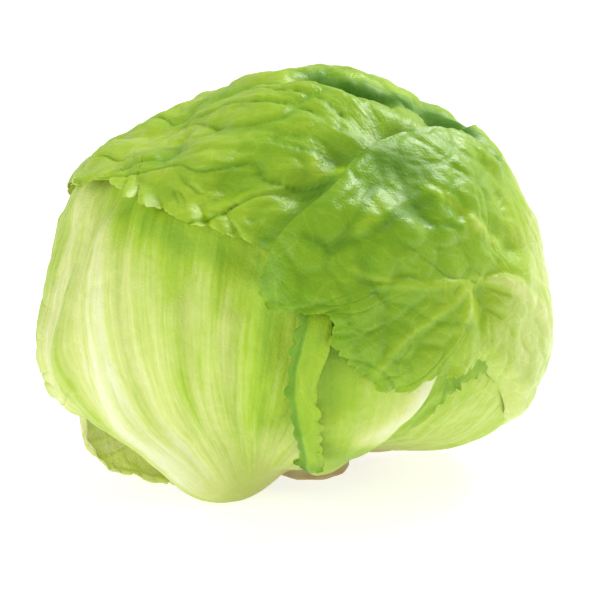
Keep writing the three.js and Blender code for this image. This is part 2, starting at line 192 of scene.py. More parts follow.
LEAVES = (
    Leaf("back_leaf", "green_leaf", (180, 14),
         (68, 66, 62, 59, 57, 56, 56, 57, 60, 66, 74, 80, 83, 80, 74, 66, 60, 57, 56, 56, 57, 59, 62, 66),
         180, (180, -80), (-100, 100), (0.3, 0.52, 0.7), rib=2.4),
    Leaf("back_right_leaf", "light_leaf", (124, -4),
         (46, 47, 49, 51, 52, 52, 51, 50, 51, 56, 63, 69, 71, 67, 61, 54, 50, 50, 51, 52, 52, 51, 49, 47),
         180, (124, -80), (-110, 110), (0.28, 0.42, 0.62), rib=2.6, streak=0.16,
         swell=(128, -56, 12.5, 15)),
    Leaf("back_left_leaf", "light_leaf", (-138, -2),
         (48, 49, 50, 52, 52, 51, 50, 50, 53, 60, 68, 74, 76, 71, 63, 55, 51, 50, 51, 52, 52, 51, 50, 49),
         180, (-138, -80), (-110, 110), (0.28, 0.42, 0.62), rib=2.6, streak=0.16,
         swell=(-142, -56, 12.5, 15)),
    Leaf("left_leaf", "light_leaf", (-110, -22),
         (50, 50, 50, 51, 51, 45, 37, 32, 33, 41, 50, 47, 42, 40, 42, 44, 46, 46, 46, 47, 48, 49, 50, 50),
         250, (-160, -50), (106, 226), (0.36, 0.34, 0.36), rib=1.6, fade=30.0, flare=15.5, curl=20, wave=8,
         teeth=2.2, lobes=1.6, crumple=0.8, blisters=0.3, glow=0.55, segments=280),
    Leaf("right_leaf", "light_leaf", (74, -8),
         (48, 49, 50, 51, 52, 52, 52, 51, 50, 52, 55, 60, 66, 68, 65, 60, 58, 56, 54, 50, 48, 47, 47, 47),
         190, (22, -78), (-110, 110), (0.5, 0.47, 0.42), rib=2.6, rib_pale=0.05, flare=0, curl=0, lobes=1,
         ridges=0.6, billow=0.2, blisters=0.15, rings=60, segments=250),
    Leaf("inner_front_leaf", "green_leaf", (30, 0),
         (34, 34, 32, 31, 30, 29, 28, 26, 23, 20, 20, 25, 38, 48, 47, 42, 36, 32, 31, 31, 32, 33, 34, 34),
         198, (20, -70), (70, 168), (0.6, 0.7, 0.68), rib=1.6, flare=0.8, curl=22, wave=10, teeth=2.6,
         lobes=1.6, rings=54, segments=260),
    Leaf("front_left_leaf", "pale_leaf", (-48, -6),
         (42, 44, 47, 51, 54, 56, 56, 56, 58, 61, 66, 70, 48, 32, 27, 26, 33, 43, 54, 60, 60, 56, 49, 44),
         168, (-20, -60), (195, 300), (0.4, 0.39, 0.46), rib=3.2, rib_pale=0.0, flare=0.4, curl=8, teeth=0.8,
         lobes=0.8, swell=(-35, -57, 16, 14), ridges=0.9, billow=0.15, blisters=0.15, streak=0.12, net=0.022,
         rings=90, segments=400, strokes=(
             Stroke(((-38, -42), (-44, -28), (-46, -16), (-49, -2), (-51, 6), (-56, 18)), 5.0, 1.4, -0.27),
             # A paler band along the left rim: painted light where the rim stands bright in the light.
             Stroke(((-80, 16), (-76, 0), (-72, -14)), 9.0, 0.0, -0.15),
             Stroke(((-30, -48), (-31, -30), (-30, -12), (-28, 4)), 2.6, 0.9, -0.1),
             Stroke(((-26, -46), (-23, -28), (-19, -10), (-14, 4)), 2.0, 0.8, -0.07),
             Stroke(((-5, 16), (-4, 4), (-4, -10), (-4, -20)), 5.5, 0.0, 0.18),
             # A dark crevice along the right crown leaf's left edge: painted shade.
             Stroke(((-8, 19), (-7.6, 14)), 0.7, 0.0, 0.5),
             # A band below the crown leaf's margin: partly greener, partly painted shadow of that margin.
             Stroke(((-60, 30), (-44, 25), (-18, 21), (-6, 15)), 6.0, 0.0, 0.11),
             # Dark pockets under the crown leaf's frilled margin: painted shadow.
             Stroke(((-48, 27), (-36, 24), (-24, 21), (-14, 18.5)), 1.6, 0.0, 0.32))),
    Leaf("front_leaf", "pale_leaf", (14, -16),
         (35, 35, 33, 29, 24, 20, 17, 15, 14, 16, 20, 28,
          33, 27, 19, 14, 12, 11.5, 11.5, 12, 13, 17, 26, 33),
         180, (16, -74), (222, 322), (0.42, 0.43, 0.5), rib=2.2, rib_pale=0.0, flare=0.8, curl=12, teeth=1.5,
         lobes=0.8, ridges=0.15, billow=0.1, blisters=0.1, streak=0.05, net=0.025, rings=72, segments=340,
         strokes=(
             Stroke(((36, 2), (33, -5), (32, -11), (30, -17), (26, -23), (21, -27)), 3.0, 0.8, -0.28),
             Stroke(((9, 4), (9, -6), (9, -12)), 4.0, 0.0, 0.18),
             Stroke(((4, -30), (13, -32), (24, -37)), 5.0, 0.0, 0.16))),
    Leaf("crown_leaf", "green_leaf", (-108, 56),
         (86, 88, 90, 90, 87, 73, 56, 42, 38, 37, 34, 33, 37, 45, 60, 80, 92, 90, 84, 79, 78, 78, 80, 83),
         34, (34, 34), (62, 158), (0.68, 0.54, 0.43), rib=1.0, rib_pale=0.0, flare=0.4, curl=12, wave=13.0,
         ruffle=3.8, teeth=1.2, lobes=4.2, crumple=0.6, ridges=0.5, billow=1.0, blisters=0.35, streak=0.03,
         rings=112, segments=430, strokes=(
             Stroke(((7, 44), (8, 40), (16, 41)), 0.9, 1.4, -0.3),
             Stroke(((7, 40), (-6, 38), (-16, 34), (-23, 30)), *CREASE),
             Stroke(((2, 37), (-7, 31), (-11, 25)), *CREASE),
             Stroke(((6, 44), (-10, 47), (-31, 46), (-47, 41)), *CREASE),
             Stroke(((3, 51), (-23, 58), (-44, 54)), *CREASE),
             Stroke(((13, 59), (-14, 68), (-40, 66)), *CREASE),
             # A dark strip where this leaf dips under the right crown leaf's edge: painted shade.
             Stroke(((-8, 21), (0, 27.5), (9, 36), (12, 39.5)), 1.8, 0.0, 0.25))),
    Leaf("right_crown_leaf", "green_leaf", (52, 18),
         (29, 28, 31, 41, 53, 61, 68, 75, 82, 82, 66, 40,
          31, 28, 32, 41, 45, 48, 57.5, 51.5, 41, 37, 34, 31),
         134, (119, -39), (180, 285), (0.39, 0.72, 0.74), greening=(0.46, 0.79), rib_pale=0.0, flare=0.4,
         curl=8, wave=9, ruffle=0.7, teeth=2.0, crumple=0.25, hems=((128, 206, -2.4), (284, 334, 1.3)),
         notches=((8, 7, 7, 3.2), (35, -4, 4, 3)), ridges=0.3, billow=0.4, blisters=0.45, streak=0.03,
         net=0.055, rings=98, segments=450, strokes=(
             Stroke(((43, 10), (38, 11), (30, 11), (24, 12), (18, 14), (13, 16)), *PALE_VEIN),
             Stroke(((43, 10), (36, 7), (30, 4), (23, 0), (18, -5)), *PALE_VEIN),
             Stroke(((43, 10), (41, 5), (37, 1)), *PALE_VEIN),
             Stroke(((43, 10), (48, 10), (53, 9), (59, 5)), 0.9, 0.8, -0.2),
             Stroke(((100, -28), (85, -14), (70, -2), (58, 6)), 1.8, 0.8, -0.1),
             Stroke(((36, 29), (26, 27), (18, 23), (9, 20), (3, 23)), *GROOVE),
             Stroke(((9, 20), (16, 27), (21, 33)), *GROOVE),
             # Darker over the broad dent: painted shade.
             Stroke(((31, 37), (32, 33)), 6.0, 0.0, 0.1),
             # A shallow groove, darker in tone: painted shade.
             Stroke(((26, 27), (34, 24), (42, 22)), 0.6, -0.4, 0.1),
             Stroke(((37, 32), (43, 27), (47, 22), (55, 17)), 1.0, 0.7, -0.22),
             Stroke(((27, 33), (21, 29), (16, 24)), 1.6, 0.3, -0.12))),
)

# Broad rises and dents of the whole head: azimuth, latitude, height, spread in degrees
SWELLS = (
    (-78, 16, -10, 16), (-66, -12, 2.2, 7), (88, -2, -2.2, 16), (-62, 55, -4.5, 15), (-88, 64, -3.5, 17),
    (-62, -28, 3.5, 12), (86, 44, -3, 11), (70, -36, 4, 13), (-108, 51, -5, 14),
)

# Folds that run through every layer: a path of directions, the height and the half-width in degrees
FOLDS = (
    (((46, 83), (56, 73), (64, 65)), -9, 3.0),
    (((86, 51), (84, 46), (80, 41)), -8, 2.6),
    (((74, 38), (75, 35)), -5, 2.2),
    (((13, 75), (33, 63), (42, 53), (59, 45), (69, 34)), 2.6, 3.6),
    (((-6, 17), (5, 28), (14, 38), (24, 46)), 1.6, 4.5),
    (((-10, 19), (0, 29), (8, 36), (15, 44)), -2.4, 3.2),
)

# Painted shade on the far sides of the first three folds: a path, the change of tone and the half-width in
# degrees
PAINTED_HOLLOW_SHADE = (
    (((68, 82), (70, 73), (74, 65), (79, 59)), 0.42, 3.8),
    (((98, 50), (93, 46), (87, 42)), 0.38, 3.0),
    (((77, 38), (78, 35)), 0.25, 2.2),
)

# Small dents, dimples and bumps of the outer leaves: azimuth, latitude, height, spread in degrees
DIMPLES = (
    (17, 44, -1.9, 2.4), (5, 35, -1.8, 2.2), (-16, 38, -3.0, 3.2), (-20, 35, -2.0, 2.6),
    (42, 27, -1.9, 1.6), (44, 25, -1.8, 1.4), (54, 18, -2.6, 2.4), (59, 15, -2.6, 2.6),
    (48, 7, -2.6, 3.4), (31, 37, -2.8, 7.0), (-35, 32, -2.2, 2.8), (-6, 16, -1.0, 2.4),
    (32, 26, -1.8, 2.6), (-43, 59, -2.2, 2.8), (-61, 52, -2.8, 2.6), (-50, 44, -2.4, 3.0),
    (-30, 46, 1.4, 4.0), (-24, 42, 1.6, 3.4), (12, 28, 1.4, 4.0), (26, 24, 1.0, 5.0),
)

# The toothed ribbon at the front leaf's left margin: its middle line, and half its width in degrees
RIBBON_PATH = (
    (5.0, 8), (3.8, 2), (2.5, -4), (2.2, -10), (3.0, -16), (3.7, -22), (4.6, -28), (5.4, -32), (5.9, -35),
)
RIBBON_HALF_WIDTH = 4.3
LEAVES_UNDER_RIBBON = 8

REACH_STEP = 15.0  # degrees of bearing between the reach values of a leaf
DRAPE_REACH = 3.5  # degrees over which a leaf keeps the full height of what is under it
DRAPE_FALL = 0.05  # millimetres per square degree that it sinks beyond that
DRAPE_RINGS, DRAPE_SEGMENTS = 26, 84
COVER_EDGE = (1.04, 1.22)  # shares of a later leaf's reach between which its cover ends
RIB_HALF_WIDTH = 6.0
FLOOR_GAP = 0.2
FAN_WIDTH = 60.0  # millimetres that a radian across the fan of veins counts for
VEINS_MEET = (8, 34)  # millimetres from the veins' meeting place over which the relief grows
PADS_END = (135, 175)  # millimetres from there over which the pads flatten
TOOTH_PITCH = 3.4
PLEAT_PITCH = 8.5
CUT_POWER = 8  # power of the share of the reach that keeps the cuts of teeth and lobes at the margin
EDGE_CROWDING = 2.2  # how much closer the segments stand along a toothed margin
HEM_RAMP = 15.0  # degrees of bearing over which a hem begins and ends
CURL_START = 0.84  # share of the reach where a margin begins to curl
CURL_STRIP = 6.5  # greatest width in millimetres of the strip that curls
INNER_PALER = 0.2  # how much paler in tone a leaf's inner face is
BROWN_SPREAD = 22.0  # millimetres from the stem and from the floor over which browning fades
LEAST_RELIEF = -1.0
STEM_GAP = 0.4  # millimetres of air between the stem and the leaves
GREEN_ROUGHNESS, PALE_ROUGHNESS = 0.36, 0.5
FRAME_SHIFT = (9 / 600, -15 / 600)  # shift of the picture as shares of its width
FLOOR_HALF_WIDTH = 30000.0
# Setting, width in metres and place in metres of each lamp
LAMPS = (
    ("key", 0.45, (0.44, 0.36, 0.80)),
    ("rim", 0.5, (0.75, 0.5, 0.42)),
    ("fill", 0.7, (-0.7, -0.55, 0.35)),
)
HEART_TONE = 0.3
HEART_GAP = 3.0  # millimetres between the heart and the first leaf


# Arithmetic on whole arrays


def smooth(x, low, high):
    """Smooth step from 0 at low to 1 at high."""
    t = np.clip((x - low) / (high - low), 0, 1)
    return t * t * (3 - 2 * t)


def bell(distance, spread):
    """Bell curve of height 1."""
    return np.exp(-0.5 * (distance / spread) ** 2)


def not_below(x, low, bend=0.4):
    """x, bent upwards where it comes near low."""
    return low + bend * np.logaddexp(0, (x - low) / bend)


def hashed(places, seed):
    """Even numbers from 0 to 1 for rows of whole-number places, the same on every run."""
    mixed = np.full(places.shape[:-1], seed * 2654435761 % 2**32, np.uint32)
    for axis in range(places.shape[-1]):
        mixed ^= places[..., axis].astype(np.int64).astype(np.uint32)
        mixed *= np.uint32(0x9E3779B1)
        mixed ^= mixed >> np.uint32(15)
        mixed *= np.uint32(0x85EBCA77)
        mixed ^= mixed >> np.uint32(13)
    return mixed / 2.0**32


def noise(points, seed):
    """Soft noise from -1 to 1: numbers at the corners of a flat or cubic lattice, blended smoothly."""
    base = np.floor(points)
    part = points - base
    blend = part**3 * (part * (part * 6 - 15) + 10)
    total = 0
    for corner in np.ndindex(*(2,) * points.shape[-1]):
        weight = np.prod(np.where(np.array(corner) == 1, blend, 1 - blend), axis=-1)
        total = total + weight * hashed(base + np.array(corner), seed)
    return 2 * total - 1


def fractal(points, seed, octaves=3):
    """Noise with finer noise of half the height added at each octave."""
    return sum(noise(points * 2**k, seed + k) / 2**k for k in range(octaves))


def pillows(points, seed):
    """Rounded pads with sharp creases between them, from 0 in a crease to 1."""
    return 1 - np.exp(-np.abs(noise(points, seed)) / 0.15)


def cells(points, seed):
    """Distances to the nearest and second nearest of points scattered one to a lattice square."""
    base = np.floor(points)
    first = np.full(points.shape[:-1], 9.0)
    second = first.copy()
    for step in np.ndindex(3, 3):
        square = base + np.array(step) - 1
        spot = square + np.stack([hashed(square, seed), hashed(square, seed + 1)], axis=-1)
        gap = np.linalg.norm(points - spot, axis=-1)
        second = np.minimum(second, np.maximum(first, gap))
        first = np.minimum(first, gap)
    return first, second


# Places on the head


def direction(azimuth, latitude):
    """Unit vectors of azimuths and latitudes in degrees."""
    a, b = np.radians(azimuth), np.radians(latitude)
    return np.stack([np.sin(a) * np.cos(b), -np.cos(a) * np.cos(b), np.sin(b)], axis=-1)


def apart(dirs, azimuth, latitude):
    """Angle in degrees between directions and one place."""
    return np.degrees(np.arccos(np.clip(dirs @ direction(azimuth, latitude), -1, 1)))


def path_distance(dirs, path):
    """Angle in degrees from directions to the nearest stretch of a path of (azimuth, latitude) places."""
    corners = direction(*np.array(path, float).T)
    nearest = np.full(dirs.shape[:-1], 180.0)
    for a, b in zip(corners[:-1], corners[1:]):
        run = b - a
        t = np.clip((dirs - a) @ run / (run @ run), 0, 1)
        close = a + t[..., None] * run
        close /= np.linalg.norm(close, axis=-1, keepdims=True)
        cosine = np.clip(np.sum(dirs * close, axis=-1), -1, 1)
        nearest = np.minimum(nearest, np.degrees(np.arccos(cosine)))
    return nearest


def bumps(dirs, table):
    """Sum of round bell-shaped bumps, each an azimuth, a latitude, a height and a spread."""
    return sum(height * bell(apart(dirs, azimuth, latitude), spread)
               for azimuth, latitude, height, spread in table)


def wales(dirs, table):
    """Sum of bell-shaped ridges along paths, each a path, a height and a half-width."""
    return sum(height * bell(path_distance(dirs, path), width) for path, height, width in table)


@dataclass(frozen=True)
class Form:
    """The head's rounded form in millimetres, from the settings."""
    width: float
    depth: float
    crown_rise: float
    underside_drop: float
    stem_show: float
    stem_radius: float
    stem_top: float
    stem_side: float
    heart_depth: float
    leaf_thickness: float
    leaf_gap: float

    @classmethod
    def of(cls, settings):
        """The form that the settings give."""
        return cls(**{name: getattr(settings, name) / MM for name in cls.__dataclass_fields__})

    @property
    def middle(self):
        """The place that directions start from."""
        return np.array([-self.stem_side, 0, self.underside_drop + self.stem_show])

    def radius(self, dirs):
        """Radius of the form: an ellipse above the widest level, below it a fuller one that is squarer at
        the sides than at the front, with swells, dimples, folds and an even crumple added."""
        x, y, z = np.moveaxis(dirs, -1, 0)
        level = np.hypot(x / (self.width / 2), y / (self.depth / 2))
        side = x**2 / (x**2 + y**2 + 1e-9)
        power = np.where(z > 0, 2.05, 2.1 + 0.9 * side)
        rise = np.abs(z) / np.where(z > 0, self.crown_rise, self.underside_drop)
        plain = (level**power + rise**power) ** (-1 / power)
        crumple = 0.8 * noise(dirs * 5.0 + 7.0, 3)
        return plain + bumps(dirs, SWELLS + DIMPLES) + wales(dirs, FOLDS) + crumple


# Leaves on the head


def axes(leaf):
    """A leaf's own axes at its middle: outwards, to the right and towards the crown."""
    azimuth, latitude = leaf.middle
    return direction(azimuth, latitude), direction(azimuth + 90, 0), direction(azimuth, latitude + 90)


def on_leaf(leaf, bearing, arc):
    """Directions at bearings and arcs from a leaf's middle."""
    out, right, up = axes(leaf)
    b, a = np.radians(bearing)[..., None], np.radians(arc)[..., None]
    return np.cos(a) * out + np.sin(a) * (np.cos(b) * up + np.sin(b) * right)


def bearing_arc(leaf, dirs):
    """Bearings and arcs of directions from a leaf's middle, in degrees."""
    out, right, up = axes(leaf)
    return (np.degrees(np.arctan2(dirs @ right, dirs @ up)),
            np.degrees(np.arccos(np.clip(dirs @ out, -1, 1))))


def leaf_outward(leaf, bearing, arc):
    """Unit vectors that point away from a leaf's middle along its surface."""
    out, right, up = axes(leaf)
    b, a = np.radians(bearing)[..., None], np.radians(arc)[..., None]
    return np.cos(a) * (np.cos(b) * up + np.sin(b) * right) - np.sin(a) * out


def reach_at(leaf, bearing):
    """Distance to the margin at bearings: a closed cubic curve through the reach, less the notches."""
    values = np.array(leaf.reach, float)
    count = len(values)
    place = np.mod(bearing, 360) / REACH_STEP
    i = np.floor(place).astype(int)
    t = place - i
    before, start, end, after = (values[(i + k) % count] for k in (-1, 0, 1, 2))
    curve = (start * (1 + 2 * t) * (1 - t) ** 2 + (end - before) / 2 * t * (1 - t) ** 2
             + end * t**2 * (3 - 2 * t) - (after - start) / 2 * t**2 * (1 - t))
    for azimuth, latitude, depth, width in leaf.notches:
        toward = bearing_arc(leaf, direction(azimuth, latitude))[0]
        off = np.abs(np.mod(bearing - toward + 180, 360) - 180)
        curve = curve - depth * bell(off, width)
    return curve


def edge_at(leaf, bearing):
    """How far bearings lie within the toothed part of the margin, from 0 to 1."""
    low, high = leaf.edge
    off = np.abs(np.mod(bearing - (low + high) / 2 + 180, 360) - 180)
    return 1 - smooth(off, (high - low) / 2 - leaf.fade, (high - low) / 2)


def cover_at(later, dirs):
    """How far later leaves cover directions, from 0 for open to 1 for covered."""
    most = np.zeros(dirs.shape[:-1])
    for leaf in later:
        bearing, arc = bearing_arc(leaf, dirs)
        most = np.maximum(most, 1 - smooth(arc / reach_at(leaf, bearing), *COVER_EDGE))
    return most


def rib_at(leaf, bearing, arc):
    """Midrib from 0 to 1, widest and highest at the foot, and the angle across it, positive to the right."""
    turn = np.radians(bearing - leaf.foot)
    along, across = arc * np.cos(turn), arc * np.sin(turn)
    growth = smooth(along, -40, 60)
    width = RIB_HALF_WIDTH * (0.6 + 0.6 * growth)
    return bell(across, width) * growth, -across


def draped(dirs, laid, form):
    """Height that clears all that is laid: the highest of parabolas that open down from its places."""
    height = np.full(len(dirs), -form.heart_depth)
    for under_dirs, under_heights in laid:
        cosine = dirs.astype(np.float32) @ under_dirs.T.astype(np.float32)
        turn = np.degrees(np.arccos(np.clip(cosine, -1, 1)))
        sunk = under_heights - DRAPE_FALL * np.maximum(0, turn - DRAPE_REACH) ** 2
        height = np.maximum(height, sunk.max(axis=1))
    return height + form.leaf_gap


def ring_shares(rings):
    """Shares of the reach of a leaf's middle and of its rings, gathered towards the margin."""
    return 1 - (1 - np.arange(rings + 1) / rings) ** 1.2


@lru_cache(maxsize=1)
def lay_leaves(form):
    """Lays the leaves from the innermost out on coarse grids. Returns each leaf's grid of heights of its
    inner face by name, and the list of laid places that a further piece would have to clear."""
    laid, heights = [], {}
    share = ring_shares(DRAPE_RINGS)[:, None]
    bearing = np.arange(DRAPE_SEGMENTS)[None, :] * 360.0 / DRAPE_SEGMENTS
    for leaf in LEAVES:
        arc = share * reach_at(leaf, bearing)
        dirs = on_leaf(leaf, bearing, arc).reshape(-1, 3)
        low = draped(dirs, laid, form)
        heights[leaf.name] = low.reshape(arc.shape)
        rib, _ = rib_at(leaf, bearing, arc)
        laid.append((dirs, low + form.leaf_thickness + leaf.rib * rib.ravel()))
        if leaf.name == "front_leaf":
            laid.append(ribbon_places(laid, form))
    return heights, laid


def cubic_weights(places, count, closed):
    """Matrix of Catmull-Rom weights that reads a row of count values at fractional places."""
    i = np.floor(places).astype(int)
    t = places - i
    parts = (-t + 2 * t**2 - t**3, 2 - 5 * t**2 + 3 * t**3, t + 4 * t**2 - 3 * t**3, -t**2 + t**3)
    matrix = np.zeros((len(places), count))
    for step, part in zip((-1, 0, 1, 2), parts):
        column = (i + step) % count if closed else np.clip(i + step, 0, count - 1)
        np.add.at(matrix, (np.arange(len(places)), column), part / 2)
    return matrix


def fan(leaf, dirs):
    """Angle in radians across and distance in millimetres along the fan of a leaf's veins."""
    root = direction(*leaf.veins)
    ahead = axes(leaf)[0] - (axes(leaf)[0] @ root) * root
    ahead /= np.linalg.norm(ahead)
    right = np.cross(root, ahead)
    across = np.arctan2(-dirs @ right, dirs @ ahead)
    return across, np.degrees(np.arccos(np.clip(dirs @ root, -1, 1))) * DEGREE_MM


def margin_bearings(leaf):
    """Bearings of a leaf's segments, closer together along the toothed part of its margin."""
    fine = np.linspace(0, 360, 3601)
    crowd = np.concatenate([[0], np.cumsum(1 + EDGE_CROWDING * edge_at(leaf, fine[:-1] + 0.05))])
    return np.interp(np.arange(leaf.segments) / leaf.segments * crowd[-1], crowd, fine)


def margin_length(bearing, reach):
    """Distance in millimetres along the margin at each bearing of a closed row."""
    turn = np.radians(np.diff(bearing, append=360.0 + bearing[0])) * np.sin(np.radians(reach)) * HEAD_RADIUS
    rise = (np.roll(reach, -1) - reach) * DEGREE_MM
    return np.concatenate([[0], np.cumsum(np.hypot(turn, rise))[:-1]])


def row_noise(run, pitch, seed):
    """Soft noise along a margin."""
    return noise(np.stack([run / pitch, 0 * run + 0.5], axis=-1), seed)


def row_sizes(numbers, seed):
    """One even number from 0 to 1 for each numbered tooth or lobe."""
    return hashed(np.stack([numbers, 0 * numbers], axis=-1), seed)


def saw_teeth(run, pitch, seed):
    """Cut depth from 0 at the points to 1 between them of leaning teeth of uneven size along a margin."""
    place = run / pitch + 0.5 * row_noise(run, 9, seed)
    number = np.floor(place)
    t = place - number
    return (0.25 + 0.75 * row_sizes(number, seed)) * np.where(t < 0.7, 1 - t / 0.7, (t - 0.7) / 0.3)


def lobe_waves(run, pitch, seed):
    """Waves along a margin, from 0 in the nicks to 1 on the lobes, and each lobe's size from 0.35 to 1."""
    place = run / pitch + 0.5 * row_noise(run, 1.5 * pitch, seed)
    return np.abs(np.sin(np.pi * place)), 0.35 + 0.65 * row_sizes(np.floor(place), seed)


@dataclass
class Sheet:
    """A leaf's surface: outer and inner points by ring and segment, and what its material reads."""
    outer: np.ndarray
    inner: np.ndarray
    green: np.ndarray
    bruise: np.ndarray
    uv: np.ndarray


def settle(form, points, floor):
    """Keeps points outside the stem and above the floor."""
    keep_out = form.stem_radius + STEM_GAP
    side = np.hypot(points[..., 0], points[..., 1])
    inside = (side < keep_out) & (points[..., 2] < form.middle[2])
    push = np.where(inside, keep_out / np.maximum(side, 1e-6), 1.0)
    points = points * np.stack([push, push, np.ones_like(push)], axis=-1)
    points[..., 2] = np.maximum(points[..., 2], floor)
    return points


def low_brown_at(points, form):
    """Brown round the foot of the leaves, from 0 to 1: most next to the stem and the floor."""
    side = np.hypot(points[..., 0], points[..., 1]) - form.stem_radius
    return bell(np.maximum(0, side), BROWN_SPREAD) * bell(points[..., 2], BROWN_SPREAD)


def pouches(leaves):
    """The swells of those leaves that have one."""
    return [leaf.swell for leaf in leaves if leaf.swell]


def strokes_at(leaf, dirs, what):
    """A leaf's strokes as heights or as changes of tone, averaged where they meet."""
    total = weight = np.zeros(dirs.shape[:-1])
    for each in leaf.strokes:
        near = bell(path_distance(dirs, each.path), each.width)
        total, weight = total + getattr(each, what) * near, weight + near
    return total / np.maximum(1, weight)


def relief_at(leaf, dirs, fan_mm, seed):
    """Height of the leaf's own surface and its change of tone: ridges along the veins, pads with sharp
    creases between them, blisters in a patchwork of cells, wrinkles and strokes. All but the strokes
    fade out where the veins meet, and the pads also far from there. The tone is darker in the creases,
    the cell walls and the dents and lighter on the bumps: painted shade."""
    along = fan_mm[..., 1]
    ridges = noise(fan_mm / (6.5, 80), seed + 11) + 0.5 * noise(fan_mm / (3.4, 55), seed + 12)
    sway = 0.5 * noise(fan_mm / 16.0, seed + 14)
    pads = pillows(np.stack([fan_mm[..., 0] / 10 + sway, along / 32], axis=-1), seed + 13)
    near, next_near = cells(fan_mm / (8.0, 11.0) + sway[..., None], seed + 31)
    blister = smooth(next_near - near, 0, 0.4)
    wrinkle = fractal(dirs * 8.0 + seed, seed + 40, 3)
    fade = smooth(along, *VEINS_MEET)
    billow = leaf.billow * (1 - 0.8 * smooth(along, *PADS_END))
    height = fade * (leaf.ridges * ridges + billow * (1.6 * pads - 1.1) + leaf.blisters * (blister - 0.6)
                     + (0.2 + 0.5 * leaf.blisters) * wrinkle)
    # Darker tone in the pads' creases, the cell walls and the dents, lighter on the bumps: painted shade.
    shade = fade * (0.085 * leaf.ridges * ridges + billow * 0.2 * (0.75 - pads)
                    + leaf.blisters * 0.08 * (0.7 - blister))
    return height + strokes_at(leaf, dirs, "height"), shade - 0.035 * bumps(dirs, DIMPLES)


@dataclass
class Grid:
    """Where the points of a leaf lie. By ring: the share of the reach. By segment: the bearing, the reach,
    how far it is in the toothed margin, the run along the margin, and the wave and size of the lobes.
    By both: the arc, the direction and how open it lies, from 0 to 1."""
    share: np.ndarray
    bearing: np.ndarray
    reach: np.ndarray
    edge: np.ndarray
    run: np.ndarray
    wave: np.ndarray
    size: np.ndarray
    arc: np.ndarray
    dirs: np.ndarray
    open_sky: np.ndarray


def leaf_grid(leaf, later, seed):
    """Rings from a leaf's middle to its margin. The arc of a place is its share of the reach, less the
    lobes and teeth close to the margin. It lies open where no later leaf covers it."""
    share = ring_shares(leaf.rings)[:, None]
    bearing = margin_bearings(leaf)
    reach, edge = reach_at(leaf, bearing), edge_at(leaf, bearing)
    run = margin_length(bearing, reach)
    wave, size = lobe_waves(run, leaf.wave, seed + 5)
    lobes = leaf.lobes * (1 - size * wave**0.7 + 0.5 * row_noise(run, 14, seed))
    cut = edge * (leaf.teeth * saw_teeth(run, TOOTH_PITCH, seed + 2) + lobes) / DEGREE_MM
    arc = share * reach - share**CUT_POWER * cut
    dirs = on_leaf(leaf, bearing, arc)
    return Grid(share, bearing, reach, edge, run, wave, size, arc, dirs, 1 - cover_at(later, dirs))


def draped_height(grid, heights):
    """Height of a leaf's inner face: smooth curves both ways through its coarse grid of heights."""
    rows = np.interp(grid.share[:, 0], ring_shares(DRAPE_RINGS), np.arange(DRAPE_RINGS + 1))
    columns = grid.bearing / 360.0 * DRAPE_SEGMENTS
    return (cubic_weights(rows, DRAPE_RINGS + 1, False) @ heights
            @ cubic_weights(columns, DRAPE_SEGMENTS, True).T)


def margin_lift(leaf, grid):
    """Height that flare and ruffle give an open margin, and that its hems add."""
    flare = leaf.flare * smooth(grid.share, 0.4, 1)
    ruffle = leaf.ruffle * grid.wave * grid.size * smooth(grid.share, 0.82, 1)
    lift = grid.edge * grid.open_sky * (flare + ruffle)
    for start, end, height in leaf.hems:
        begun = smooth(grid.bearing, start, start + HEM_RAMP)
        ended = smooth(grid.bearing, end - HEM_RAMP, end)
        lift = lift + height * (begun * (1 - ended)) * smooth(grid.share, 0.8, 1)
    return lift


def margin_pleats(grid, seed):
    """Pads with bent creases that run inwards from the margin, from 0 in a crease to 1."""
    inwards = (1 - grid.share) * grid.reach * DEGREE_MM
    bend = 0.8 * noise(np.stack([grid.run / 12 + 0 * grid.share, inwards / 12], axis=-1), seed + 9)
    return pillows(np.stack([grid.run / PLEAT_PITCH + bend, inwards / 45 + bend], axis=-1), seed + 8)


def margin_curl(leaf, grid):
    """Shift of the strip next to an open margin, which turns up about its inner side by an angle that waves
    along the margin."""
    strip = np.clip((grid.share - CURL_START) / (1 - CURL_START), 0, 1)
    angle = np.radians(leaf.curl) * grid.wave**1.3 * grid.size * strip * grid.edge * grid.open_sky
    stretch = strip * np.minimum((1 - CURL_START) * grid.reach * DEGREE_MM, CURL_STRIP)
    return (grid.dirs * (stretch * np.sin(angle))[..., None]
            + leaf_outward(leaf, grid.bearing, grid.arc) * (stretch * (np.cos(angle) - 1))[..., None])


def leaf_tone(leaf, grid, along, aside, shade):
    """Depth of green: the leaf's tones along its veins, paler at its midrib and on the very margin, with
    the relief's tone and painted shade, the strokes and the painted shade of the crown's hollows added."""
    foot, half, rim = leaf.tones
    way = along / along.max()
    tone = foot + (half - foot) * smooth(way, *leaf.greening)
    tone = tone + (rim - half) * smooth(way, leaf.greening[1], 1.0)
    tone = tone - leaf.rib_pale * bell(aside, 13) * smooth(-way, -0.9, -0.2)
    tone = tone + shade + strokes_at(leaf, grid.dirs, "tone") + wales(grid.dirs, PAINTED_HOLLOW_SHADE)
    return tone - 0.05 * grid.edge * smooth(grid.share, 0.985, 1.0)


